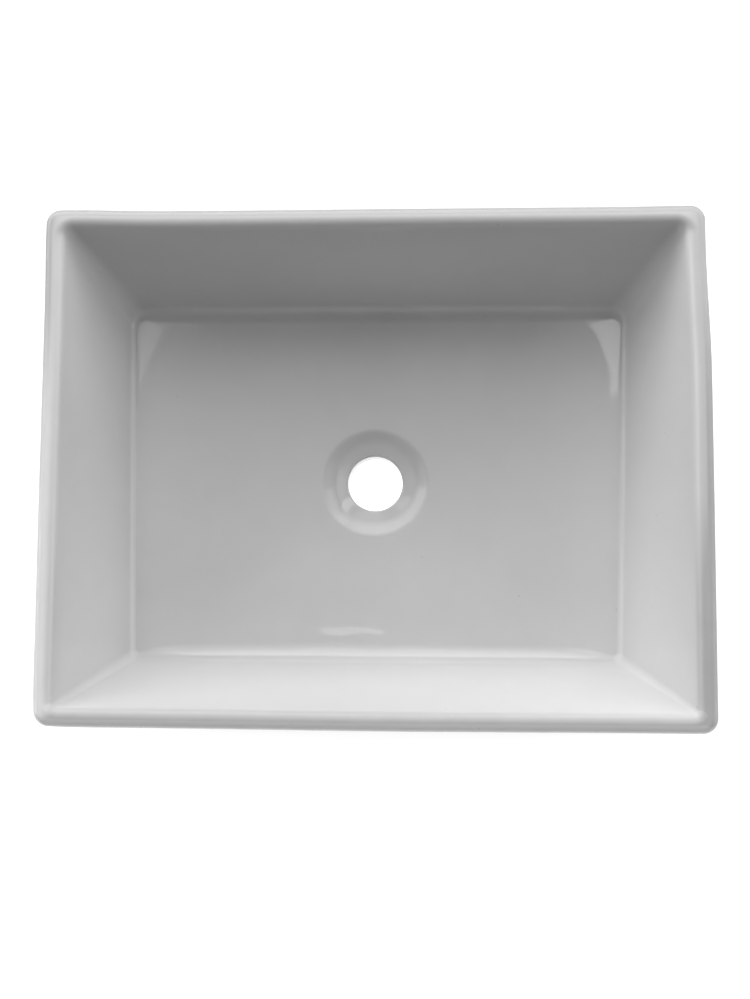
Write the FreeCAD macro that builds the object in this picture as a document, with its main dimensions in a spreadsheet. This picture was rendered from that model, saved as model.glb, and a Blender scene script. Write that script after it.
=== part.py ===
import FreeCAD, Part
import math
import os
import Sketcher

# Rectangular countertop basin: one tapered, thin-rimmed ceramic casting with a
# round waste outlet, its two counter seals and its four soft feet.
# Frame: origin on the counter under the middle of the basin, +X along the long
# side, +Y towards the back, +Z up. Millimetres.

doc = FreeCAD.newDocument("countertop_basin")

# ---------------------------------------------------------------- dimensions
sheet = doc.addObject("Spreadsheet::Sheet", "Dims")
DIMS = [
    # overall casting
    ("rim_width", 486.9, "outside of the rim before its roll, left to right"),
    ("rim_depth", 378.9, "outside of the rim before its roll, front to back"),
    ("rim_height", 140.0, "top of the rim above the counter"),
    ("rim_corner", 13.0, "outside corner radius at the rim"),
    ("foot_width", 406.0, "outside of the casting at the foot"),
    ("foot_depth", 297.0, "outside of the casting at the foot"),
    ("foot_corner", 20.0, "outside corner radius at the foot"),
    ("foot_level", 2.0, "ground face of the foot above the counter"),
    ("foot_round", 7.0, "round of the outer lower edge"),
    # bowl
    ("mouth_width", 457.0, "bowl at the rim plane"),
    ("mouth_depth", 349.0, "bowl at the rim plane"),
    ("mouth_corner", 7.0, "bowl corner radius at the rim"),
    ("floor_width", 394.0, "bowl at the floor plane"),
    ("floor_depth", 285.0, "bowl at the floor plane"),
    ("floor_corner", 16.0, "bowl corner radius at the floor"),
    ("floor_level", 30.0, "flat bowl floor above the counter"),
    ("floor_round", 12.0, "cove between floor and walls"),
    ("rim_inner_round", 8.4, "inner roll of the rim"),
    ("rim_outer_round", 6.0, "outer roll of the rim"),
    # waste outlet
    ("outlet_radius", 22.5, "waste hole"),
    ("outlet_mouth", 24.5, "seat meets the hole"),
    ("dish_radius", 43.0, "dish meets the floor"),
    ("dish_knee", 34.5, "dish slope meets the seat"),
    ("dish_drop", 6.0, "fall of the dish slope"),
    ("seat_drop", 8.2, "fall of the seat at the hole"),
    ("dish_shoulder", 8.0, "soft shoulder of the dish"),
    ("dish_hollow", 6.0, "soft hollow at the knee"),
    ("outlet_round", 1.8, "glazed lip of the hole"),
    # underside
    ("recess_width", 334.0, "hollow inside the foot ring"),
    ("recess_depth", 225.0, "hollow inside the foot ring"),
    ("recess_corner", 22.0, "corner radius of the hollow"),
    ("recess_level", 15.0, "ceiling of the hollow above the counter"),
    ("boss_radius", 48.0, "outlet boss"),
    ("recess_round", 5.0, "cove at the ceiling of the hollow"),
    # seals and feet
    ("gasket_inset", 12.0, "foot edge to the packing ring"),
    ("gasket_band", 8.0, "width of the packing ring"),
    ("gasket_edge", 0.5, "soft edge of both seals"),
    ("washer_inner", 26.0, "bore of the outlet seal"),
    ("washer_outer", 42.0, "outside of the outlet seal"),
    ("pad_radius", 6.0, "soft foot"),
    ("pad_inset", 27.5, "foot edge to the middle of a soft foot"),
    ("pad_edge", 0.8, "chamfer of a soft foot"),
]
for i, (alias, value, words) in enumerate(DIMS, start=1):
    sheet.set("A%d" % i, words)
    sheet.set("B%d" % i, "%g" % value)
    sheet.setAlias("B%d" % i, alias)
doc.recompute()
D = {alias: float(sheet.get(alias)) for alias, _, _ in DIMS}


# ------------------------------------------------------------------- helpers
def body_named(label):
    body = doc.addObject("PartDesign::Body", label)
    body.Label = label
    return body


def plane_of(body, role):
    return next(f for f in body.Origin.OriginFeatures if f.Role == role)


def sketch_on(body, name, role, lift=None):
    """A sketch on one of the body's own planes, lifted by a sheet expression."""
    sk = body.newObject("Sketcher::SketchObject", name)
    sk.AttachmentSupport = (plane_of(body, role), [""])
    sk.MapMode = "FlatFace"
    if lift:
        sk.setExpression("AttachmentOffset.Base.z", lift)
    return sk


def vec(x, y):
    return FreeCAD.Vector(x, y, 0)


def add_round_rect(sk, tag, w, d, r, w_x, d_x, r_x):
    """A centred rounded rectangle, fully constrained, its sizes bound to the sheet."""
    b = sk.GeometryCount
    x, y = w / 2, d / 2
    up = FreeCAD.Vector(0, 0, 1)

    def arc(cx, cy, a0, a1):
        return Part.ArcOfCircle(Part.Circle(vec(cx, cy), up, r), math.radians(a0), math.radians(a1))

    sk.addGeometry(
        [
            Part.LineSegment(vec(-x + r, -y), vec(x - r, -y)),
            arc(x - r, -y + r, -90, 0),
            Part.LineSegment(vec(x, -y + r), vec(x, y - r)),
            arc(x - r, y - r, 0, 90),
            Part.LineSegment(vec(x - r, y), vec(-x + r, y)),
            arc(-x + r, y - r, 90, 180),
            Part.LineSegment(vec(-x, y - r), vec(-x, -y + r)),
            arc(-x + r, -y + r, 180, 270),
        ],
        False,
    )
    for k in range(8):
        sk.addConstraint(Sketcher.Constraint("Tangent", b + k, 2, b + (k + 1) % 8, 1))
    sk.addConstraint(Sketcher.Constraint("Horizontal", b))
    sk.addConstraint(Sketcher.Constraint("Vertical", b + 2))
    for k in (3, 5, 7):
        sk.addConstraint(Sketcher.Constraint("Equal", b + 1, b + k))
    sk.addConstraint(Sketcher.Constraint("Symmetric", b, 1, b + 4, 1, -1, 1))
    for name, con, expr in (
        ("width", Sketcher.Constraint("DistanceX", b + 6, 1, b + 2, 1, w), w_x),
        ("depth", Sketcher.Constraint("DistanceY", b, 1, b + 4, 1, d), d_x),
        ("corner", Sketcher.Constraint("Radius", b + 1, r), r_x),
    ):
        n = sk.addConstraint(con)
        sk.renameConstraint(n, tag + name)
        sk.setExpression("Constraints." + tag + name, expr)


def add_circle(sk, tag, r, r_x, at=None, at_x=None):
    """A circle, on the sketch's origin or at a point bound to the sheet."""
    b = sk.GeometryCount
    cx, cy = at or (0.0, 0.0)
    sk.addGeometry(Part.Circle(vec(cx, cy), FreeCAD.Vector(0, 0, 1), r), False)
    if at is None:
        sk.addConstraint(Sketcher.Constraint("Coincident", b, 3, -1, 1))
    else:
        for axis, value, expr in (("DistanceX", cx, at_x[0]), ("DistanceY", cy, at_x[1])):
            n = sk.addConstraint(Sketcher.Constraint(axis, -1, 1, b, 3, value))
            sk.renameConstraint(n, tag + axis)
            sk.setExpression("Constraints." + tag + axis, expr)
    n = sk.addConstraint(Sketcher.Constraint("Radius", b, r))
    sk.renameConstraint(n, tag + "radius")
    sk.setExpression("Constraints." + tag + "radius", r_x)


def edges_where(feature, test):
    return ["Edge%d" % i for i, e in enumerate(feature.Shape.Edges, start=1) if test(e)]


def flat_at(e, z, tol=1e-4):
    bb = e.BoundBox
    return abs(bb.ZMin - z) < tol and abs(bb.ZMax - z) < tol


def reach(e):
    """Largest distance of an edge from the outlet axis."""
    pts = e.discretize(9)
    return max(math.hypot(p.x, p.y) for p in pts)


def fillet(body, name, base, names, radius_x):
    f = body.newObject("PartDesign::Fillet", name)
    f.Base = (base, names)
    f.setExpression("Radius", radius_x)
    doc.recompute()
    return f


# -------------------------------------------------------------- basin casting
basin = body_named("basin_body")

# tapered outside, foot to rim
sk_foot = sketch_on(basin, "foot_outline", "XY_Plane", "Dims.foot_level")
add_round_rect(
    sk_foot, "", D["foot_width"], D["foot_depth"], D["foot_corner"],
    "Dims.foot_width", "Dims.foot_depth", "Dims.foot_corner",
)
sk_rim = sketch_on(basin, "rim_outline", "XY_Plane", "Dims.rim_height")
add_round_rect(
    sk_rim, "", D["rim_width"], D["rim_depth"], D["rim_corner"],
    "Dims.rim_width", "Dims.rim_depth", "Dims.rim_corner",
)
outside = basin.newObject("PartDesign::AdditiveLoft", "outside")
outside.Profile = sk_foot
outside.Sections = [sk_rim]
outside.Ruled = True
doc.recompute()

# the bowl, mouth to floor
sk_mouth = sketch_on(basin, "mouth_outline", "XY_Plane", "Dims.rim_height")
add_round_rect(
    sk_mouth, "", D["mouth_width"], D["mouth_depth"], D["mouth_corner"],
    "Dims.mouth_width", "Dims.mouth_depth", "Dims.mouth_corner",
)
sk_floor = sketch_on(basin, "floor_outline", "XY_Plane", "Dims.floor_level")
add_round_rect(
    sk_floor, "", D["floor_width"], D["floor_depth"], D["floor_corner"],
    "Dims.floor_width", "Dims.floor_depth", "Dims.floor_corner",
)
bowl = basin.newObject("PartDesign::SubtractiveLoft", "bowl")
bowl.Profile = sk_mouth
bowl.Sections = [sk_floor]
bowl.Ruled = True
doc.recompute()

# cove between the floor and the walls
cove = fillet(basin, "floor_cove", bowl, edges_where(bowl, lambda e: flat_at(e, D["floor_level"])), "Dims.floor_round")

# hollow underside: the ring of the foot and the outlet boss stay
sk_recess = sketch_on(basin, "underside_hollow", "XY_Plane", "Dims.foot_level")
add_round_rect(
    sk_recess, "", D["recess_width"], D["recess_depth"], D["recess_corner"],
    "Dims.recess_width", "Dims.recess_depth", "Dims.recess_corner",
)
add_circle(sk_recess, "boss", D["boss_radius"], "Dims.boss_radius")
hollow = basin.newObject("PartDesign::Pocket", "hollow")
hollow.Profile = sk_recess
hollow.setExpression("Length", "Dims.recess_level - Dims.foot_level")
hollow.Reversed = True
doc.recompute()

# outlet: dish, seat and hole turned in one cut
sk_dish = sketch_on(basin, "outlet_section", "XZ_Plane")
pts = [
    (0.0, D["floor_level"] + 5.0),
    (D["dish_radius"], D["floor_level"] + 5.0),
    (D["dish_radius"], D["floor_level"]),
    (D["dish_knee"], D["floor_level"] - D["dish_drop"]),
    (D["outlet_mouth"] - 2.0, D["floor_level"] - D["seat_drop"]),
    (D["outlet_radius"], 0.0),
    (0.0, 0.0),
]
for k in range(7):
    sk_dish.addGeometry(Part.LineSegment(vec(*pts[k]), vec(*pts[(k + 1) % 7])), False)
for k in range(7):
    sk_dish.addConstraint(Sketcher.Constraint("Coincident", k, 2, (k + 1) % 7, 1))
for k in (0, 5):
    sk_dish.addConstraint(Sketcher.Constraint("Horizontal", k))
for k in (1, 4):
    sk_dish.addConstraint(Sketcher.Constraint("Vertical", k))
sk_dish.addConstraint(Sketcher.Constraint("Coincident", 5, 2, -1, 1))
sk_dish.addConstraint(Sketcher.Constraint("PointOnObject", 0, 1, -2))
for name, con, expr in (
    ("top", Sketcher.Constraint("DistanceY", -1, 1, 0, 1, pts[0][1]), "Dims.floor_level + 5"),
    ("dish", Sketcher.Constraint("DistanceX", -1, 1, 1, 1, pts[1][0]), "Dims.dish_radius"),
    ("floor", Sketcher.Constraint("DistanceY", -1, 1, 2, 1, pts[2][1]), "Dims.floor_level"),
    ("knee", Sketcher.Constraint("DistanceX", -1, 1, 3, 1, pts[3][0]), "Dims.dish_knee"),
    ("knee_level", Sketcher.Constraint("DistanceY", -1, 1, 3, 1, pts[3][1]), "Dims.floor_level - Dims.dish_drop"),
    ("hole", Sketcher.Constraint("DistanceX", -1, 1, 4, 1, pts[4][0]), "Dims.outlet_radius"),
    ("seat_level", Sketcher.Constraint("DistanceY", -1, 1, 4, 1, pts[4][1]), "Dims.floor_level - Dims.seat_drop"),
):
    n = sk_dish.addConstraint(con)
    sk_dish.renameConstraint(n, name)
    sk_dish.setExpression("Constraints." + name, expr)
doc.recompute()
outlet = basin.newObject("PartDesign::Groove", "outlet")
outlet.Profile = sk_dish
outlet.ReferenceAxis = (sk_dish, ["V_Axis"])
outlet.Angle = 360.0
doc.recompute()

# soft shoulder and hollow of the dish, glazed lip of the hole
shoulder = fillet(
    basin, "dish_shoulder", outlet,
    edges_where(outlet, lambda e: flat_at(e, D["floor_level"]) and reach(e) < D["dish_radius"] + 0.5),
    "Dims.dish_shoulder",
)
hollow_knee = fillet(
    basin, "dish_hollow", shoulder,
    edges_where(shoulder, lambda e: flat_at(e, D["floor_level"] - D["dish_drop"]) and reach(e) < D["dish_knee"] + 0.5),
    "Dims.dish_hollow",
)
lip = fillet(
    basin, "outlet_lip", hollow_knee,
    edges_where(hollow_knee, lambda e: flat_at(e, D["floor_level"] - D["seat_drop"]) and reach(e) < D["outlet_radius"] + 0.5),
    "Dims.outlet_round",
)

# rolls of the rim and of the lower edge, cove in the hollow
on_rim = lambda e: flat_at(e, D["rim_height"])
inner = lambda e: max(max(abs(p.x) - D["mouth_width"] / 2, abs(p.y) - D["mouth_depth"] / 2) for p in e.discretize(9)) < 0.5
rim_in = fillet(basin, "rim_inner_roll", lip, edges_where(lip, lambda e: on_rim(e) and inner(e)), "Dims.rim_inner_round")
rim_out = fillet(
    basin, "rim_outer_roll", rim_in,
    edges_where(
        rim_in,
        lambda e: on_rim(e)
        and max(max(abs(p.x) - D["rim_width"] / 2, abs(p.y) - D["rim_depth"] / 2) for p in e.discretize(9)) > -0.01,
    ),
    "Dims.rim_outer_round",
)
foot_edge = fillet(
    basin, "lower_edge_round", rim_out,
    edges_where(
        rim_out,
        lambda e: flat_at(e, D["foot_level"])
        and max(max(abs(p.x) - D["foot_width"] / 2, abs(p.y) - D["foot_depth"] / 2) for p in e.discretize(9)) > -0.01,
    ),
    "Dims.foot_round",
)
ceiling = fillet(
    basin, "hollow_cove", foot_edge,
    edges_where(foot_edge, lambda e: flat_at(e, D["recess_level"])),
    "Dims.recess_round",
)
basin.Tip = ceiling

# ------------------------------------------------------------------ base seal
gasket = body_named("base_gasket")
sk_g = sketch_on(gasket, "packing_outline", "XY_Plane")
gi, gb = D["gasket_inset"], D["gasket_band"]
add_round_rect(
    sk_g, "outer_", D["foot_width"] - 2 * gi, D["foot_depth"] - 2 * gi, D["foot_corner"] - gi + 4,
    "Dims.foot_width - 2 * Dims.gasket_inset", "Dims.foot_depth - 2 * Dims.gasket_inset", "Dims.foot_corner - Dims.gasket_inset + 4",
)
add_round_rect(
    sk_g, "inner_", D["foot_width"] - 2 * (gi + gb), D["foot_depth"] - 2 * (gi + gb), D["foot_corner"] - gi - 4,
    "Dims.foot_width - 2 * (Dims.gasket_inset + Dims.gasket_band)",
    "Dims.foot_depth - 2 * (Dims.gasket_inset + Dims.gasket_band)",
    "Dims.foot_corner - Dims.gasket_inset - 4",
)
packing = gasket.newObject("PartDesign::Pad", "packing")
packing.Profile = sk_g
packing.setExpression("Length", "Dims.foot_level")
doc.recompute()
g_edge = fillet(
    gasket, "packing_edge", packing,
    edges_where(packing, lambda e: flat_at(e, 0.0)),
    "Dims.gasket_edge",
)
gasket.Tip = g_edge

# ---------------------------------------------------------------- outlet seal
washer = body_named("drain_gasket")
sk_w = sketch_on(washer, "washer_outline", "XY_Plane")
add_circle(sk_w, "outer_", D["washer_outer"], "Dims.washer_outer")
add_circle(sk_w, "inner_", D["washer_inner"], "Dims.washer_inner")
ring = washer.newObject("PartDesign::Pad", "ring")
ring.Profile = sk_w
ring.setExpression("Length", "Dims.foot_level")
doc.recompute()
w_edge = fillet(
    washer, "ring_edge", ring,
    edges_where(ring, lambda e: flat_at(e, 0.0)),
    "Dims.gasket_edge",
)
washer.Tip = w_edge

# ------------------------------------------------------------------ soft feet
feet = []
for label, sx, sy in (
    ("foot_pad_front_left", -1, -1),
    ("foot_pad_front_right", 1, -1),
    ("foot_pad_rear_left", -1, 1),
    ("foot_pad_rear_right", 1, 1),
):
    pad_body = body_named(label)
    sk_p = sketch_on(pad_body, label + "_outline", "XY_Plane")
    px = sx * (D["foot_width"] / 2 - D["pad_inset"])
    py = sy * (D["foot_depth"] / 2 - D["pad_inset"])
    # the constraint measures from the origin, so its sign carries the corner
    add_circle(
        sk_p, "", D["pad_radius"], "Dims.pad_radius", (px, py),
        (
            "%d * (Dims.foot_width / 2 - Dims.pad_inset)" % sx,
            "%d * (Dims.foot_depth / 2 - Dims.pad_inset)" % sy,
        ),
    )
    disc = pad_body.newObject("PartDesign::Pad", label + "_disc")
    disc.Profile = sk_p
    disc.setExpression("Length", "Dims.foot_level")
    doc.recompute()
    cham = pad_body.newObject("PartDesign::Chamfer", label + "_edge")
    cham.Base = (disc, edges_where(disc, lambda e: flat_at(e, 0.0)))
    cham.setExpression("Size", "Dims.pad_edge")
    doc.recompute()
    pad_body.Tip = cham
    feet.append(pad_body)

doc.recompute()

# --------------------------------------------------------------------- checks
for o in doc.Objects:
    if "Invalid" in o.State or "Error" in o.State:
        raise SystemExit("%s failed: %s" % (o.Label, o.State))
pieces = [basin, gasket, washer] + feet
for p in pieces:
    s = p.Shape
    if s.isNull() or not s.isValid() or len(s.Solids) != 1:
        raise SystemExit("%s has a bad shape" % p.Label)
    print("%-22s volume %10.1f mm3  faces %3d  box %s" % (p.Label, s.Volume, len(s.Faces), s.BoundBox))
# each cut took material away, each roll changed the volume
last = None
for f in (outside, bowl, cove, hollow, outlet, shoulder, hollow_knee, lip, rim_in, rim_out, foot_edge, ceiling):
    v = f.Shape.Volume
    print("  %-18s %12.1f" % (f.Name, v))
    if last is not None and abs(v - last) < 1e-3:
        raise SystemExit("%s changed nothing" % f.Label)
    last = v

# ------------------------------------------------------------------ STEP files
os.makedirs("parts", exist_ok=True)
for p in pieces:
    p.Shape.exportStep(os.path.join("parts", p.Label + ".step"))
print("written", len(pieces))
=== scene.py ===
import math

import bpy
import numpy as np
from mathutils import Euler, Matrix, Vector


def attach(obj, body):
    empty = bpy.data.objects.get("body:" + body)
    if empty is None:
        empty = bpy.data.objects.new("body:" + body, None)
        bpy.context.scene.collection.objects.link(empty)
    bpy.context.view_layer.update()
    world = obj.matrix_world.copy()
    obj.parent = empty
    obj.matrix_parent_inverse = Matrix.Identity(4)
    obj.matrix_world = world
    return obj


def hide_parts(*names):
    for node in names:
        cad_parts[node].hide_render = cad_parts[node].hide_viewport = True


# Rectangular countertop basin: white glazed casting on dark rubber seals and
# pale soft feet. Row frame: +X right, +Y back, +Z up. The casting's surface is
# worked out in millimetres and turned into metres when the mesh is made.

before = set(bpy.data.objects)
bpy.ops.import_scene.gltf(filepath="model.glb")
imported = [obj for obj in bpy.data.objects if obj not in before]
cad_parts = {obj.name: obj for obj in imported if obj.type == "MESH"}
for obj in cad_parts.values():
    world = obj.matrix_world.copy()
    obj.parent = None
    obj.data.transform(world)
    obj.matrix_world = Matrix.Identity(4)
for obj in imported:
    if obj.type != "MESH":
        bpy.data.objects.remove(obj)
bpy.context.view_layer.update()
MM = 0.001


# ------------------------------------------------------------ plan and section
NSX, NSY, NC = 84, 64, 18  # points on a long side, on a short side, in a corner
N_U = 2 * (NSX + NSY) + 4 * (NC + 1)
TURN = (np.arange(N_U) - (NSY - 1) / 2.0) * (2 * math.pi / N_U)
CIRCLE = np.c_[np.cos(TURN), np.sin(TURN)]
UNEVEN = 0.5 * np.sin(2 * TURN + 0.6) + 0.45 * np.sin(3 * TURN + 2.1) + 0.35 * np.sin(5 * TURN + 0.5)

# half width, half depth, corner radius and height at the casting's key levels
FOOT = (203.0, 148.5, 20.0, 2.0)
RIM_OUT = (243.45, 189.45, 13.0, 140.0)
MOUTH = (228.5, 174.5, 3.5, 140.0)
FLOOR = (197.0, 142.5, 7.0, 30.0)
MOUTH_BACK, FLOOR_BACK = 7.0, 15.0  # the bowl's back corners are rounder than its front ones
HOLLOW = (167.0, 112.5, 22.0, 15.0)
COVE_SIDE, COVE_LONG = 4.0, 15.0  # cove at the short walls and at the long walls
ROLL_IN, ROLL_OUT, FOOT_ROUND = 8.4, 6.0, 7.0
FALL = 1.1  # the floor falls this much to the outlet
FLARE_L, FLARE_R = 0.032, 0.042  # the floor is this much wider at the back, to the left and to the right
SEAT, KNEE = 21.8, 24.0  # heights of the outlet's seat at the hole and at its knee


def mix(a, b, k):
    return a + (b - a) * k


def ease(x, lo, hi):
    t = np.clip((np.asarray(x, float) - lo) / (hi - lo), 0, 1)
    return t * t * (3 - 2 * t)


def rect_ring(a, b, r, r_back=None):
    """Rounded rectangle in plan, anticlockwise from the lower end of its right side."""
    r = max(min(r, a - 1e-3, b - 1e-3), 0.05)
    q = r if r_back is None else r_back
    u = (np.arange(NSX) + 1.0) / (NSX + 1.0)
    fx = mix(u, 0.5 - 0.5 * np.cos(math.pi * u), 0.6)  # closer to the corners
    fy = (np.arange(NSY) + 1.0) / (NSY + 1.0)
    t = np.linspace(0, math.pi / 2, NC + 1)
    c, s = np.cos(t), np.sin(t)
    return np.concatenate(
        [
            np.c_[np.full(NSY, a), -(b - r) + (2 * b - r - q) * fy],
            np.c_[a - q + q * c, b - q + q * s],
            np.c_[(a - q) - 2 * (a - q) * fx, np.full(NSX, b)],
            np.c_[-(a - q) - q * s, b - q + q * c],
            np.c_[np.full(NSY, -a), (b - q) - (2 * b - r - q) * fy],
            np.c_[-(a - r) - r * c, -(b - r) - r * s],
            np.c_[-(a - r) + 2 * (a - r) * fx, np.full(NSX, -b)],
            np.c_[a - r + r * s, -(b - r) - r * c],
        ]
    )


def ring_ways():
    """The way straight out of the casting, in plan, at each point of such a ring."""
    t = np.linspace(0, math.pi / 2, NC + 1)
    c, s = np.cos(t), np.sin(t)
    return np.concatenate(
        [
            np.tile((1.0, 0.0), (NSY, 1)),
            np.c_[c, s],
            np.tile((0.0, 1.0), (NSX, 1)),
            np.c_[-s, c],
            np.tile((-1.0, 0.0), (NSY, 1)),
            np.c_[-c, -s],
            np.tile((0.0, -1.0), (NSX, 1)),
            np.c_[s, -c],
        ]
    )


WAYS = ring_ways()
LONG = ease(np.arctan2(np.abs(WAYS[:, 1]), np.abs(WAYS[:, 0])) / (math.pi / 2), 0, 1)  # 0 at the short walls, 1 at the long


def round_corner(p0, p1, p2, r, n):
    """Points of the arc of radius r that rounds the corner p1 of a section."""
    p0, p1, p2 = (np.asarray(p, float) for p in (p0, p1, p2))
    u = (p0 - p1) / np.linalg.norm(p0 - p1)
    v = (p2 - p1) / np.linalg.norm(p2 - p1)
    ang = math.acos(np.clip(u @ v, -1, 1))
    t = r / math.tan(ang / 2)
    c = p1 + (u + v) / np.linalg.norm(u + v) * (r / math.sin(ang / 2))
    s, e = p1 + u * t, p1 + v * t
    a0 = math.atan2(s[1] - c[1], s[0] - c[0])
    a1 = math.atan2(e[1] - c[1], e[0] - c[0])
    d = (a1 - a0 + math.pi) % (2 * math.pi) - math.pi
    k = np.linspace(0, 1, n)
    return np.c_[c[0] + r * np.cos(a0 + d * k), c[1] + r * np.sin(a0 + d * k)]


def between(low, high, z):
    k = (z - low[3]) / (high[3] - low[3])
    return [mix(low[i], high[i], k) for i in range(3)]


def casting_rings():
    """The casting's closed section, swept once round: rings of N_U points, and what each ring belongs to."""
    rings, tags = [], []

    def add(xy, z, tag):
        rings.append(np.c_[xy, np.broadcast_to(z, (N_U,))])
        tags.append(tag)

    def circ(r, z, tag, wander=0.0):
        add(CIRCLE * (r + wander * UNEVEN)[:, None] if wander else CIRCLE * r, z, tag)

    def rect(a, b, r, z, tag):
        add(rect_ring(a, b, r), z, tag)

    # the bowl's wall, point by point: its line at floor and mouth, its lean, and how far it slides along itself
    low, high = rect_ring(*FLOOR[:3], FLOOR_BACK), rect_ring(*MOUTH[:3], MOUTH_BACK)
    low[:, 0] *= 1 + np.where(low[:, 0] < 0, FLARE_L, FLARE_R) * (low[:, 1] / FLOOR[1] + 1) / 2
    depth = MOUTH[3] - FLOOR[3]
    step = ((high - low) * WAYS).sum(1)
    slide = (high - low) - WAYS * step[:, None]
    steep = math.pi / 2 - np.arctan(step / depth)
    lean_out = math.atan2(RIM_OUT[0] - FOOT[0], RIM_OUT[3] - FOOT[3])
    z0 = FLOOR[3] - FALL

    # outlet: hole wall, glazed lip, seat, soft knee, soft shoulder
    hole, seat, knee, edge, out = (22.5, 2.0), (22.5, SEAT), (34.5, KNEE), (43.0, z0), (70.0, z0)
    lip = round_corner(hole, seat, knee, 1.8, 11)
    for z in np.linspace(4.0, lip[0][1] - 1.0, 9):
        circ(22.5, z, "hole")
    for p in lip:
        circ(p[0], p[1], "outlet")
    bend = round_corner(seat, knee, edge, 18.0, 17)
    for k in (0.2, 0.4, 0.6, 0.8):
        circ(mix(lip[-1][0], bend[0][0], k), mix(lip[-1][1], bend[0][1], k), "outlet", 0.9 * k)
    for p in bend:
        circ(p[0], p[1], "outlet", 0.9)
    arc = round_corner(knee, edge, out, 8.0, 17)
    for k, p in enumerate(arc):
        circ(p[0], p[1], "outlet", 0.55 * (1 - k / 16.0))

    # floor, circle to rounded rectangle, with its fall to the outlet
    x_low = low[:, 0]
    front = np.clip(-WAYS[:, 1], 0, 1)
    # the long coves tighten into the corners, and the front one is a little uneven along its length
    near = np.clip(np.abs(x_low) / 189.0, 0, 1)
    cove = mix(COVE_SIDE, COVE_LONG - np.where(WAYS[:, 1] > 0, 3.0 * near**8, 9.0 * near**12), LONG)
    cove = cove + front * (1.7 * np.exp(-(((x_low + 45) / 24.0) ** 2)) + 0.9 * np.exp(-(((x_low - 36) / 16.0) ** 2)))
    t_cove = cove * np.tan(steep / 2)
    start = CIRCLE * arc[-1][0]
    stop = low - WAYS * t_cove[:, None]
    for k in np.linspace(0, 1, 64)[1:]:
        rise = FALL * (1 - (1 - k) ** 2) if k < 1 else FALL
        add(mix(start, stop, k), z0 + rise, "floor")

    # cove into the wall
    for k in np.linspace(0, 1, 21)[1:]:
        z = FLOOR[3] + cove * (1 - np.cos(k * steep))
        gap = cove * np.sin(k * steep) - t_cove
        add(low + WAYS * gap[:, None] + slide * ((z - FLOOR[3]) / depth)[:, None], z, "cove")
    z_cove = FLOOR[3] + cove * (1 - np.cos(steep))

    # wall
    z_roll = MOUTH[3] - ROLL_IN * (1 - np.cos(steep))
    for k in np.linspace(0, 1, 36)[1:]:
        z = mix(z_cove, z_roll, k)
        add(mix(low, high, ((z - FLOOR[3]) / depth)[:, None]), z, "wall")

    # rim: inner roll, crest, outer roll
    t_in = ROLL_IN * np.tan(steep / 2)
    for k in np.linspace(1, 0, 17)[1:]:
        z = MOUTH[3] - ROLL_IN * (1 - np.cos(k * steep))
        x = t_in - ROLL_IN * np.sin(k * steep)
        add(high + WAYS * x[:, None] + slide * ((z - MOUTH[3]) / depth)[:, None], z, "rim")
    t_out = ROLL_OUT / math.tan((math.pi / 2 - lean_out) / 2)
    c1 = [v - t_out for v in RIM_OUT[:3]]
    crest = high + WAYS * t_in[:, None]
    for k in np.linspace(0, 1, 6)[1:]:
        add(mix(crest, rect_ring(*c1), k), MOUTH[3], "rim")
    for t in np.linspace(0, math.pi / 2 + lean_out, 23)[1:]:
        x = ROLL_OUT * math.sin(t)
        rect(c1[0] + x, c1[1] + x, c1[2] + x, 140.0 - ROLL_OUT * (1 - math.cos(t)), "rim")
    z_under = 140.0 - ROLL_OUT * (1 + math.sin(lean_out))

    # outside wall, round of the lower edge
    t_foot = FOOT_ROUND / math.tan((math.pi / 2 + lean_out) / 2)
    z_foot = FOOT[3] + t_foot * math.cos(lean_out)
    for z in np.linspace(z_under, z_foot, 40)[1:]:
        rect(*between(FOOT, RIM_OUT, z), z, "outside")
    for t in np.linspace(math.pi / 2 - lean_out, 0, 13)[1:]:
        x = FOOT_ROUND * math.sin(t) - t_foot
        rect(FOOT[0] + x, FOOT[1] + x, FOOT[2] + x, FOOT[3] + FOOT_ROUND * (1 - math.cos(t)), "edge")

    # ground foot, hollow, outlet boss
    f0 = [v - t_foot for v in FOOT[:3]]
    f1 = [v + 1.0 for v in HOLLOW[:3]]
    for k in np.linspace(0, 1, 9)[1:]:
        rect(*[mix(p, q, k) for p, q in zip(f0, f1)], FOOT[3], "foot")
    for t in np.linspace(0, math.pi / 2, 6)[1:]:
        x = 1.0 - math.sin(t)
        rect(HOLLOW[0] + x, HOLLOW[1] + x, HOLLOW[2] + x, FOOT[3] + 1.0 - math.cos(t), "under")
    for z in (5.0, 7.5, 10.0):
        rect(*HOLLOW[:3], z, "under")
    for t in np.linspace(0, math.pi / 2, 11)[1:]:
        x = 5.0 * (1 - math.cos(t))
        rect(HOLLOW[0] - x, HOLLOW[1] - x, HOLLOW[2] - x, 10.0 + 5.0 * math.sin(t), "under")
    start = rect_ring(*[v - 5.0 for v in HOLLOW[:3]])
    for k in np.linspace(0, 1, 24)[1:]:
        add(mix(start, CIRCLE * 53.0, k), HOLLOW[3], "under")
    for t in np.linspace(0, math.pi / 2, 11)[1:]:
        circ(53.0 - 5.0 * math.sin(t), 10.0 + 5.0 * math.cos(t), "under")
    for z in (7.5, 5.0, 3.0):
        circ(48.0, z, "under")
    for t in np.linspace(0, math.pi / 2, 6)[1:]:
        circ(47.0 + math.cos(t), 3.0 - math.sin(t), "foot")
    for r in np.linspace(47.0, 23.3, 9)[1:]:
        circ(r, FOOT[3], "foot")
    for t in np.linspace(0, math.pi / 2, 5)[1:]:
        circ(23.3 - 0.8 * math.sin(t), FOOT[3] + 0.8 * (1 - math.cos(t)), "hole")
    return np.array(rings), tags


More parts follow.
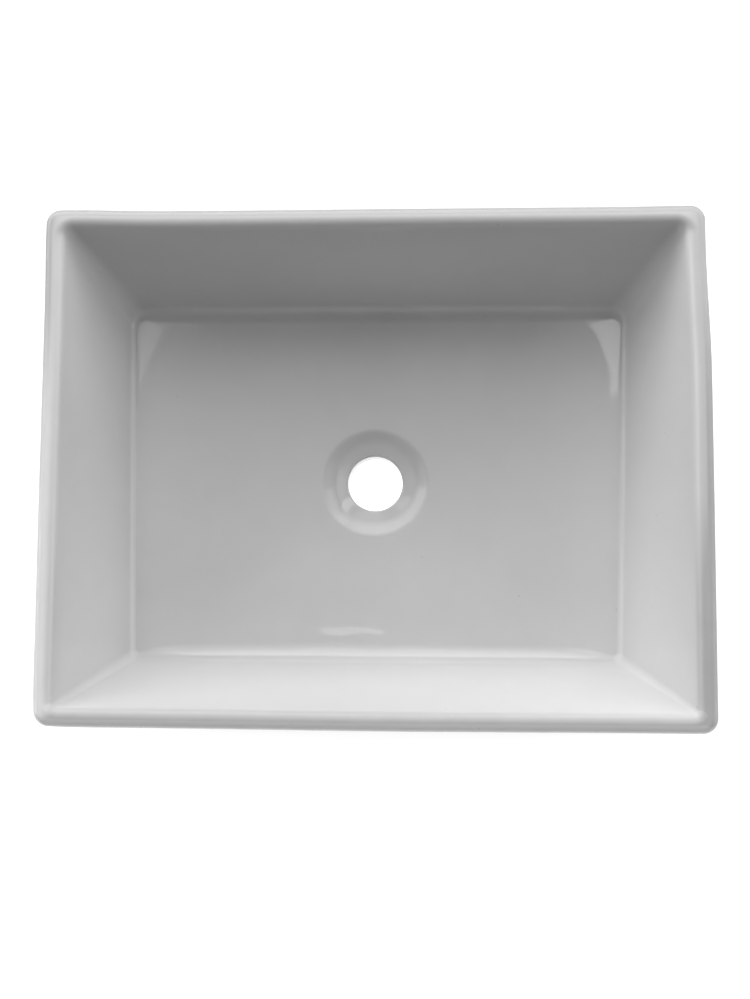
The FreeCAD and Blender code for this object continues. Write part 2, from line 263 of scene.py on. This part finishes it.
def settle(v):
    """The small, smooth wander that drying and firing leave in such a casting, in millimetres."""
    x, y, z = v[..., 0].copy(), v[..., 1].copy(), v[..., 2].copy()
    up = ease(z, 25, 140)
    # the mouth leans a little to the back right over the foot
    v[..., 0] += 2.0 * up
    v[..., 1] += 2.9 * up
    # right side: back corner drawn in; left side: back corner pushed out
    right, left = ease(x, 120, 235) * up, ease(-x, 120, 235) * up
    v[..., 0] += right * (0.78 - 2.8 * ease(y, 65, 165) + 0.14 * np.cos(math.pi * y / 375) + 0.38 * y / 187)
    v[..., 0] -= left * 0.6 * np.exp(-(((y - 165) / 28.0) ** 2))
    # front and back edges, barely bowed
    back, front = ease(y, 80, 180) * up, ease(-y, 80, 180) * up
    v[..., 1] += back * (0.85 + 1.4 * np.exp(-(((x + 222) / 42.0) ** 2)) + 0.5 * ease(x, 170, 235))
    v[..., 1] -= front * (0.25 + 0.6 * np.exp(-(((x - 10) / 110.0) ** 2)))
    # front left corner, worn rounder
    worn = 0.8 * up * np.exp(-((x + 240) ** 2 + (y + 186) ** 2) / 16.0**2)
    v[..., 0] += worn
    v[..., 1] += worn
    # faint swell of the glazed faces, a hundredth of a millimetre high
    v[..., 2] += 0.010 * np.sin(x / 6.3 + 0.4) * np.sin(y / 7.1 + 1.0) * ease(np.hypot(x, y), 40, 60)
    # the rim rides up and down by a few tenths
    v[..., 2] += ease(z, 90, 140) * (0.22 * np.sin(x / 61.0 + 0.7) + 0.18 * np.sin(y / 47.0 + 1.9) - 0.4)
    return v


def casting():
    rings, tags = casting_rings()
    v = settle(rings)
    n_v = len(rings)
    i = np.arange(n_v)[:, None]
    j = np.arange(N_U)[None, :]
    i2, j2 = (i + 1) % n_v, (j + 1) % N_U
    quads = np.stack([i * N_U + j, i2 * N_U + j, i2 * N_U + j2, i * N_U + j2], -1).reshape(-1, 4)
    me = bpy.data.meshes.new("basin_casting")
    me.from_pydata((v.reshape(-1, 3) * MM).tolist(), [], quads.tolist())
    me.validate()
    bare = np.repeat([1.0 if t == "foot" else 0.0 for t in tags], N_U)
    att = me.attributes.new("bare", "FLOAT", "POINT")
    att.data.foreach_set("value", bare.astype(np.float32))
    k = np.arange(n_v)
    rim = [n for n, t in enumerate(tags) if t == "rim"]
    wall = [n for n, t in enumerate(tags) if t == "wall"]
    q = np.clip((k - rim[0]) / (rim[-1] - rim[0]), 0, 1)[:, None]
    over = (1 - ease(k, rim[-1], rim[-1] + 26))[:, None]  # fades out down the outside
    x, y = v[..., 0], v[..., 1]
    nx, ny = WAYS[:, 0], WAYS[:, 1]
    right, left, back, front = (np.where(n > 0, n, 0) ** 2 for n in (nx, -nx, ny, -ny))
    # painted shade: the glaze is coloured a darker grey on parts of the rim (its outer side at the right, its inner
    # side at the front and left, its back edge) and a little down the outside and on the lower edge
    painted_shade = (
        ease(q, 0.12, 0.58) * over * right * (0.95 - 0.80 * ease(y, 30, 150) + 0.4 * ease(-y, 0, 110))
        + ease(k, rim[0] - 3, rim[0] + 5)[:, None] * (1 - ease(q, 0.45, 0.70)) * right * 0.8 * ease(-y, 0, 100)
        + ease(k, rim[0] - 2, rim[0] + 9)[:, None] * (1 - ease(q, 0.34, 0.62)) * front
        + ease(k, rim[0] - 6, rim[0] + 4)[:, None] * (1 - ease(q, 0.20, 0.40)) * left * 0.35 * ease(-y, 20, 110)
        + over * (ease(q, 0.40, 0.74) * back + ease(q, 0.28, 0.62) * left * 0.75 * ease(y, 30, 130))
        + np.array([0.5 if t == "edge" else 0.12 if t == "outside" else 0.0 for t in tags])[:, None] * ease(k, rim[-1], rim[-1] + 20)[:, None]
    ).ravel()
    # painted light: the glaze is coloured a lighter white on the crest at the left and back, under the front edge, in
    # the coves of the short walls, and on the walls towards the corners, lifting their shade
    up = np.clip((k - wall[0]) / (wall[-1] - wall[0]), 0, 1)[:, None]
    inside = (ease(k, wall[0] - 8, wall[0] + 4) * (1 - ease(k, wall[-1] + 2, wall[-1] + 16)))[:, None]
    painted_light = (
        ease(q, 0.02, 0.38) * over * (1 - (0.45 + 0.35 * ease(y, -60, 30)) * ease(q, 0.45, 0.70)) * (1 - ease(y, 20, 130) * ease(q, 0.15, 0.42)) * left
        + ease(q, 0.10, 0.28) * (1 - ease(q, 0.36, 0.56)) * 0.9 * back
        + ease(q, 0.48, 0.70) * over * 0.9 * front
        + inside * (right + left) * ease(y, 0, 150) * mix(0.22, 0.5, up)
        + np.array([0.25 if t == "cove" else 0.0 for t in tags])[:, None] * (right + left)
        + inside * front * (0.30 * ease(x, 20, 190) + 0.22 * ease(-x, 60, 180) * (1 - up))
    ).ravel()
    # the attribute that carries the painted light
    att = me.attributes.new("painted_light", "FLOAT", "POINT")
    att.data.foreach_set("value", np.clip(painted_light, 0, 1).astype(np.float32))
    # duller on the rim, and a little in the coves of the short walls and in the front corners
    tight = np.array([0.5 if t == "cove" else 0.0 for t in tags])[:, None] * (1 - LONG) + inside * 3.2 * front * (right + left)
    dull = ((ease(k, rim[0] - 4, rim[0] + 6) * (1 - ease(k, rim[-1] - 4, rim[-1] + 8)))[:, None] + tight).ravel()
    att = me.attributes.new("dull", "FLOAT", "POINT")
    att.data.foreach_set("value", dull.astype(np.float32))
    # the attribute that carries the painted shade
    att = me.attributes.new("painted_shade", "FLOAT", "POINT")
    att.data.foreach_set("value", np.clip(painted_shade, 0, 1).astype(np.float32))
    for p in me.polygons:
        p.use_smooth = True
    me.update()
    ob = bpy.data.objects.new("basin_casting", me)
    bpy.context.scene.collection.objects.link(ob)
    return ob


# ------------------------------------------------------------------- materials
# glaze tones: two whites that vary at random, the darker grey of painted shade, and below it the lighter white of
# painted light
WHITE_LOW, WHITE_HIGH, WHITE_PAINTED_SHADE = (0.600, 0.600, 0.599), (0.640, 0.640, 0.639), (0.430, 0.429, 0.427)
WHITE_PAINTED_LIGHT = (0.800, 0.800, 0.799)
GLOSS = (0.012, 0.034)  # roughness between the glossiest and the dullest drift


def material(name):
    m = bpy.data.materials.new(name)
    m.use_nodes = True
    nt = m.node_tree
    nt.nodes.clear()
    out = nt.nodes.new("ShaderNodeOutputMaterial")
    bs = nt.nodes.new("ShaderNodeBsdfPrincipled")
    nt.links.new(bs.outputs["BSDF"], out.inputs["Surface"])
    return m, nt, bs


def node(nt, kind, **props):
    n = nt.nodes.new(kind)
    for k, val in props.items():
        setattr(n, k, val)
    return n


def noise(nt, coord, scale, detail=2.0, rough=0.5):
    n = node(nt, "ShaderNodeTexNoise")
    n.inputs["Scale"].default_value = scale
    n.inputs["Detail"].default_value = detail
    n.inputs["Roughness"].default_value = rough
    nt.links.new(coord, n.inputs["Vector"])
    return n.outputs["Fac"]


def ramp(nt, fac, stops):
    n = node(nt, "ShaderNodeValToRGB")
    cr = n.color_ramp
    while len(cr.elements) < len(stops):
        cr.elements.new(0.5)
    for e, (p, c) in zip(cr.elements, stops):
        e.position = p
        e.color = (c, c, c, 1) if not isinstance(c, tuple) else (*c, 1)
    nt.links.new(fac, n.inputs["Fac"])
    return n.outputs["Color"]


def link(nt, a, b):
    nt.links.new(a, b)


def value(nt, op, a, b=None):
    """One sum on two sockets or numbers."""
    n = node(nt, "ShaderNodeMath", operation=op)
    for i, v in enumerate((a, b)):
        if v is None:
            continue
        if isinstance(v, (int, float)):
            n.inputs[i].default_value = v
        else:
            nt.links.new(v, n.inputs[i])
    return n.outputs[0]


def remap(nt, v, lo, hi, to_lo=0.0, to_hi=1.0, soft=True):
    n = node(nt, "ShaderNodeMapRange", interpolation_type="SMOOTHSTEP" if soft else "LINEAR")
    nt.links.new(v, n.inputs["Value"])
    for k, x in zip(("From Min", "From Max", "To Min", "To Max"), (lo, hi, to_lo, to_hi)):
        n.inputs[k].default_value = x
    return n.outputs["Result"]


def blend(nt, fac, a, b):
    """Colour a where fac is 0, colour b where it is 1."""
    n = node(nt, "ShaderNodeMix", data_type="RGBA")
    nt.links.new(fac, n.inputs["Factor"])
    for k, v in (("A", a), ("B", b)):
        sock = [i for i in n.inputs if i.name == k and i.type == "RGBA"][0]
        if isinstance(v, tuple):
            sock.default_value = (*v, 1)
        else:
            nt.links.new(v, sock)
    return [o for o in n.outputs if o.type == "RGBA"][0]


def cells(nt, coord, scale, spread=1.0):
    n = node(nt, "ShaderNodeTexVoronoi")
    n.inputs["Scale"].default_value = scale
    n.inputs["Randomness"].default_value = spread
    nt.links.new(coord, n.inputs["Vector"])
    return n.outputs["Distance"]


def bump(nt, height, depth, below=None, strength=1.0):
    n = node(nt, "ShaderNodeBump")
    n.inputs["Strength"].default_value = strength
    n.inputs["Distance"].default_value = depth
    nt.links.new(height, n.inputs["Height"])
    if below is not None:
        nt.links.new(below, n.inputs["Normal"])
    return n.outputs["Normal"]


def glaze():
    """White sanitary glaze over a pale body, left bare and ground on the foot."""
    m, nt, bs = material("white_glaze")
    co = node(nt, "ShaderNodeTexCoord").outputs["Object"]
    bare = node(nt, "ShaderNodeAttribute", attribute_name="bare").outputs["Fac"]
    painted_shade = node(nt, "ShaderNodeAttribute", attribute_name="painted_shade").outputs["Fac"]
    dull = node(nt, "ShaderNodeAttribute", attribute_name="dull").outputs["Fac"]

    # colour: soft clouds where the glaze pooled, and painted shade, a darker grey, on the parts of the rim and outside
    # marked for it
    cloud = noise(nt, co, 7.0, 3.0, 0.5)
    fine = noise(nt, co, 60.0, 3.0, 0.6)
    tone = value(nt, "ADD", value(nt, "MULTIPLY", cloud, 0.75), value(nt, "MULTIPLY", fine, 0.25))
    white = ramp(nt, tone, [(0.30, WHITE_LOW), (0.70, WHITE_HIGH)])
    painted_shade_weight = value(nt, "MULTIPLY", painted_shade, remap(nt, fine, 0.25, 0.75, 0.88, 1.0))
    white = blend(nt, painted_shade_weight, white, WHITE_PAINTED_SHADE)
    # painted light: a lighter white on the rim crest, the corners and the coves marked for it
    painted_light = node(nt, "ShaderNodeAttribute", attribute_name="painted_light").outputs["Fac"]
    white = blend(nt, value(nt, "MULTIPLY", painted_light, remap(nt, fine, 0.25, 0.75, 0.92, 1.0)), white, WHITE_PAINTED_LIGHT)
    # a few pinholes and pale specks
    pin = value(nt, "MULTIPLY", remap(nt, cells(nt, co, 46.0), 0.022, 0.034, 1.0, 0.0), remap(nt, cloud, 0.50, 0.56))
    white = blend(nt, value(nt, "MULTIPLY", pin, 0.45), white, (0.30, 0.295, 0.29))
    speck = value(nt, "MULTIPLY", remap(nt, cells(nt, co, 31.0), 0.014, 0.024, 1.0, 0.0), remap(nt, cloud, 0.52, 0.46))
    white = blend(nt, value(nt, "MULTIPLY", speck, 0.5), white, (0.78, 0.78, 0.778))
    # fired body on the ground foot
    grain = noise(nt, co, 900.0, 4.0, 0.65)
    body = ramp(nt, grain, [(0.3, (0.47, 0.44, 0.39)), (0.7, (0.60, 0.565, 0.51))])
    edge = remap(nt, value(nt, "ADD", bare, value(nt, "MULTIPLY", value(nt, "SUBTRACT", fine, 0.5), 0.5)), 0.35, 0.65)
    link(nt, blend(nt, edge, white, body), bs.inputs["Base Color"])

    # gloss: almost mirror smooth, a little duller in drifts and on the bare foot
    gloss = remap(nt, noise(nt, co, 14.0, 4.0, 0.6), 0.3, 0.7, GLOSS[0], GLOSS[1])
    gloss = value(nt, "ADD", gloss, value(nt, "MULTIPLY", dull, 0.24))
    gloss = value(nt, "ADD", value(nt, "MULTIPLY", gloss, value(nt, "SUBTRACT", 1.0, edge)), value(nt, "MULTIPLY", edge, 0.86))
    link(nt, gloss, bs.inputs["Roughness"])
    bs.inputs["IOR"].default_value = 1.55

    # relief in metres: orange peel of the glaze, pinholes, ground grain
    peel = value(nt, "MULTIPLY", noise(nt, co, 330.0, 1.0, 0.5), 0.0000012)
    pits = value(nt, "MULTIPLY", pin, -0.00006)
    rough = value(nt, "MULTIPLY", value(nt, "MULTIPLY", grain, edge), 0.00016)
    height = value(nt, "ADD", peel, value(nt, "ADD", pits, rough))
    link(nt, bump(nt, height, 1.0), bs.inputs["Normal"])
    return m


def rubber():
    """Black seal rubber: matt, pored, with a grey bloom."""
    m, nt, bs = material("seal_rubber")
    co = node(nt, "ShaderNodeTexCoord").outputs["Object"]
    bloom = noise(nt, co, 38.0, 5.0, 0.65)
    link(nt, ramp(nt, bloom, [(0.35, (0.012, 0.012, 0.0125)), (0.6, (0.022, 0.022, 0.0225)), (0.78, (0.055, 0.055, 0.056))]), bs.inputs["Base Color"])
    pore = remap(nt, cells(nt, co, 520.0), 0.10, 0.32)
    skin = noise(nt, co, 1400.0, 3.0, 0.6)
    link(nt, remap(nt, value(nt, "ADD", value(nt, "MULTIPLY", bloom, 0.7), value(nt, "MULTIPLY", skin, 0.3)), 0.3, 0.7, 0.50, 0.82), bs.inputs["Roughness"])
    bs.inputs["IOR"].default_value = 1.5
    link(nt, bump(nt, skin, 0.00004, bump(nt, pore, 0.00012)), bs.inputs["Normal"])
    return m


def silicone():
    """Milky soft foot: satin skin with fine dust on it."""
    m, nt, bs = material("pad_silicone")
    co = node(nt, "ShaderNodeTexCoord").outputs["Object"]
    milk = noise(nt, co, 120.0, 3.0, 0.5)
    dust = remap(nt, cells(nt, co, 900.0), 0.08, 0.16, 1.0, 0.0)
    clear = ramp(nt, milk, [(0.3, (0.50, 0.515, 0.51)), (0.7, (0.62, 0.63, 0.62))])
    link(nt, blend(nt, value(nt, "MULTIPLY", dust, 0.6), clear, (0.36, 0.35, 0.33)), bs.inputs["Base Color"])
    link(nt, remap(nt, milk, 0.3, 0.7, 0.30, 0.52), bs.inputs["Roughness"])
    bs.inputs["IOR"].default_value = 1.41
    bs.inputs["Subsurface Weight"].default_value = 0.25
    bs.inputs["Subsurface Radius"].default_value = (0.003, 0.003, 0.003)
    link(nt, bump(nt, noise(nt, co, 700.0, 3.0, 0.6), 0.00003), bs.inputs["Normal"])
    return m


basin = casting()
basin.data.materials.append(glaze())
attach(basin, "root")
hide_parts("basin_body")

seal, pad = rubber(), silicone()
for name, mat in (
    ("base_gasket", seal),
    ("drain_gasket", seal),
    ("foot_pad_front_left", pad),
    ("foot_pad_front_right", pad),
    ("foot_pad_rear_left", pad),
    ("foot_pad_rear_right", pad),
):
    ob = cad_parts[name]
    ob.data.materials.clear()
    ob.data.materials.append(mat)

# ----------------------------------------------------------------------- stage
def disc(name, radius, n=96):
    ring = [(radius * math.cos(2 * math.pi * i / n), radius * math.sin(2 * math.pi * i / n), 0.0) for i in range(n)]
    me = bpy.data.meshes.new(name)
    me.from_pydata(ring, [], [tuple(range(n))])
    return me


def screen(name, radius, height, n=96):
    """Upright round screen far behind the object."""
    pts = []
    for z in (-0.05, height):
        pts += [(radius * math.cos(2 * math.pi * i / n), radius * math.sin(2 * math.pi * i / n), z) for i in range(n)]
    me = bpy.data.meshes.new(name)
    me.from_pydata(pts, [], [(i, (i + 1) % n, n + (i + 1) % n, n + i) for i in range(n)])
    return me


def put(name, me, mat):
    me.materials.append(mat)
    ob = bpy.data.objects.new(name, me)
    bpy.context.scene.collection.objects.link(ob)
    return ob


def paper(name, tone, glow):
    m, nt, bs = material(name)
    co = node(nt, "ShaderNodeTexCoord").outputs["Object"]
    link(nt, ramp(nt, noise(nt, co, 3.0, 3.0), [(0.3, tone - 0.01), (0.7, tone + 0.01)]), bs.inputs["Base Color"])
    bs.inputs["Roughness"].default_value = 0.9
    bs.inputs["Emission Color"].default_value = (1, 1, 1, 1)
    bs.inputs["Emission Strength"].default_value = glow
    return m, bs


def floor_glow_painted_shadow(mat, bs, under, away, front):
    """The floor's glow: a painted contact shadow, dimmer under the basin and close to its foot; stronger in front of
    it, where it lights the basin; and painted light, bright below the outlet.
    """
    nt = mat.node_tree
    at = node(nt, "ShaderNodeSeparateXYZ")
    link(nt, node(nt, "ShaderNodeTexCoord").outputs["Object"], at.inputs[0])
    dx = value(nt, "MAXIMUM", value(nt, "SUBTRACT", value(nt, "ABSOLUTE", at.outputs["X"]), 0.190), 0.0)
    dy = value(nt, "MAXIMUM", value(nt, "SUBTRACT", value(nt, "ABSOLUTE", at.outputs["Y"]), 0.135), 0.0)
    gap = value(nt, "SQRT", value(nt, "ADD", value(nt, "MULTIPLY", dx, dx), value(nt, "MULTIPLY", dy, dy)))
    glow = value(nt, "ADD", remap(nt, gap, 0.0, 0.085, under, away), remap(nt, at.outputs["Y"], -0.35, -0.19, front, 0.0))
    mid = value(nt, "SQRT", value(nt, "ADD", value(nt, "POWER", at.outputs["X"], 2.0), value(nt, "POWER", at.outputs["Y"], 2.0)))
    glow = value(nt, "ADD", glow, remap(nt, mid, 0.036, 0.046, 1.1, 0.0))
    link(nt, glow, bs.inputs["Emission Strength"])


# the floor that is seen, its glow carrying a painted shadow round the foot and painted light below the outlet, and
# under it the floor that lights the basin from below
floor_mat, floor_bs = paper("pale_floor", 0.35, 0.90)
floor_glow_painted_shadow(floor_mat, floor_bs, 0.10, 0.90, 0.0)
floor = put("stage_floor", disc("stage_floor", 9.0), floor_mat)
for k in ("visible_diffuse", "visible_glossy", "visible_transmission", "visible_shadow"):
    setattr(floor, k, False)
under_mat, under_bs = paper("pale_under_floor", 0.35, 0.35)
floor_glow_painted_shadow(under_mat, under_bs, 0.06, 0.42, 0.78)
under = put("stage_under_floor", disc("stage_under_floor", 9.0), under_mat)
under.location = (0.0, 0.0, -0.001)
under.visible_camera = False
screen_mat, screen_bs = paper("pale_screen", 0.80, 0.95)
back = put("stage_screen", screen("stage_screen", 8.8, 7.0), screen_mat)
# the screen is only a background: the light comes from the soft boxes
for k in ("visible_diffuse", "visible_glossy", "visible_transmission", "visible_shadow"):
    setattr(back, k, False)

# ---------------------------------------------------------------------- lights
world = bpy.data.worlds.new("studio")
bpy.context.scene.world = world
world.use_nodes = True
wnt = world.node_tree
wbg = wnt.nodes["Background"]
wbg.inputs["Color"].default_value = (1, 1, 1, 1)
way = node(wnt, "ShaderNodeSeparateXYZ")
link(wnt, node(wnt, "ShaderNodeTexCoord").outputs["Generated"], way.inputs[0])
turn = value(wnt, "ARCTAN2", way.outputs["X"], way.outputs["Y"])  # 0 at the back, right is positive
rise = value(wnt, "ARCSINE", way.outputs["Z"])


def across(az, soft):
    """1 between two bearings, in degrees, with an edge of soft[0] and soft[1] degrees."""
    r = math.radians
    lo = remap(wnt, turn, r(az[0] - soft[0] / 2), r(az[0] + soft[0] / 2))
    hi = remap(wnt, turn, r(az[1] - soft[1] / 2), r(az[1] + soft[1] / 2), 1.0, 0.0)
    return value(wnt, "MULTIPLY", lo, hi)


height = value(wnt, "MULTIPLY", rise, 2 / math.pi)  # 0 at the horizon, 1 overhead
LEVELS = (10.0, 25.0, 40.0, 56.0, 70.0)
PEAK = 6.0


def bank(where, steps):
    """A bank of soft boxes, one over the other between LEVELS, and how bright each is."""
    stops, last = [(0.0, 0.0)], 0.0
    for level, now in zip(LEVELS, (*steps, 0.0)):
        stops += [((level - 2.5) / 90, last / PEAK), ((level + 2.5) / 90, now / PEAK)]
        last = now
    return value(wnt, "MULTIPLY", value(wnt, "MULTIPLY", ramp(wnt, height, stops), PEAK), where)


def panel(az, soft, el, tilt, strength):
    """A crisp-topped panel: el[0] to el[1] up, in degrees; tilt raises its top to the right, degrees per degree."""
    r = math.radians
    up = value(wnt, "SUBTRACT", rise, value(wnt, "MULTIPLY", turn, tilt))
    top = remap(wnt, up, r(el[1] - 0.2), r(el[1] + 0.2), 1.0, 0.0)
    low = remap(wnt, rise, r(el[0] - 2.5), r(el[0] + 2.5))
    gain = value(wnt, "MULTIPLY", value(wnt, "MULTIPLY", across(az, soft), top), low)
    return value(wnt, "MULTIPLY", gain, strength)


BANKS = {
    "back": ((-15, 15), (5, 5), (3.7, 2.4, 2.25, 1.65)),
    "back_right": ((15, 45), (5, 5), (2.8, 2.0, 1.6, 1.0)),
    "right": ((45, 77), (5, 5), (2.8, 1.45, 0.95, 0.25)),
    "right_side": ((77, 112), (5, 5), (3.0, 0.6, 0.0, 0.0)),
    "left_side": ((-112, -77), (5, 5), (3.1, 0.6, 0.0, 0.0)),
    "left": ((-77, -45), (5, 5), (4.2, 2.1, 1.25, 0.3)),
    "back_left": ((-45, -15), (5, 5), (4.0, 2.4, 1.65, 0.8)),
}
PANELS = {
    "right_top": ((30, 47.0), (3, 2), (62, 67.4), 0.17, 2.35),
    "left_top": ((-55.8, -38), (2, 4), (62, 66.28), -0.095, 1.5),
}
lit = [bank(across(az, soft), steps) for az, soft, steps in BANKS.values()] + [panel(*spec) for spec in PANELS.values()]
# faint light from the front
r = math.radians
lit.append(bank(remap(wnt, value(wnt, "ABSOLUTE", turn), r(109.5), r(114.5)), (0.25, 0.15, 0.0, 0.0)))
# ceiling: a broad soft box over the basin, fainter behind it, and one strip along each side
over = value(wnt, "MAXIMUM", way.outputs["Z"], 0.2)
side, far = value(wnt, "DIVIDE", way.outputs["X"], over), value(wnt, "DIVIDE", way.outputs["Y"], over)
ceiling = remap(wnt, rise, r(67.5), r(72.5))
broad = value(wnt, "MULTIPLY", remap(wnt, far, -0.02, 0.06), remap(wnt, far, 0.17, 0.25, 0.69, 0.27))
strips = value(wnt, "ADD", remap(wnt, side, -0.255, -0.185, 0.49, 0.0), remap(wnt, side, 0.10, 0.185, 0.0, 0.61))
strips = value(wnt, "MULTIPLY", strips, remap(wnt, far, -0.14, -0.08))
lit.append(value(wnt, "MULTIPLY", ceiling, value(wnt, "ADD", broad, strips)))
total = lit[0]
for more in lit[1:]:
    total = value(wnt, "ADD", total, more)
link(wnt, total, wbg.inputs["Strength"])

# two small lamps on the ceiling
for name, place, size, energy in (
    ("ceiling_lamp_left", (-0.235, -0.251, 3.0), (0.167, 0.046), 0.034),
    ("ceiling_lamp_right", (-0.120, -0.249, 3.0), (0.072, 0.030), 0.010),
):
    lamp = bpy.data.lights.new(name, "AREA")
    lamp.shape = "ELLIPSE"
    lamp.size, lamp.size_y = size
    lamp.energy = energy
    lamp_ob = bpy.data.objects.new(name, lamp)
    bpy.context.scene.collection.objects.link(lamp_ob)
    lamp_ob.location = place

# ---------------------------------------------------------------------- camera
cd = bpy.data.cameras.new("camera")
cam = bpy.data.objects.new("camera", cd)
bpy.context.scene.collection.objects.link(cam)
cd.sensor_fit = "AUTO"
cd.sensor_width = 36.0
cd.lens = 1027.7 * 36.0 / 999.0
cam.location = (0.03363, -0.07851, 0.86672)
cam.rotation_mode = "XYZ"
cam.rotation_euler = Euler((math.radians(4.439), math.radians(2.271), math.radians(0.283)), "XYZ")
bpy.context.scene.camera = cam

bpy.context.scene.view_settings.view_transform = "Standard"
bpy.context.scene.view_settings.look = "None"
bpy.context.scene.view_settings.exposure = 0.0
bpy.context.scene.view_settings.gamma = 1.0
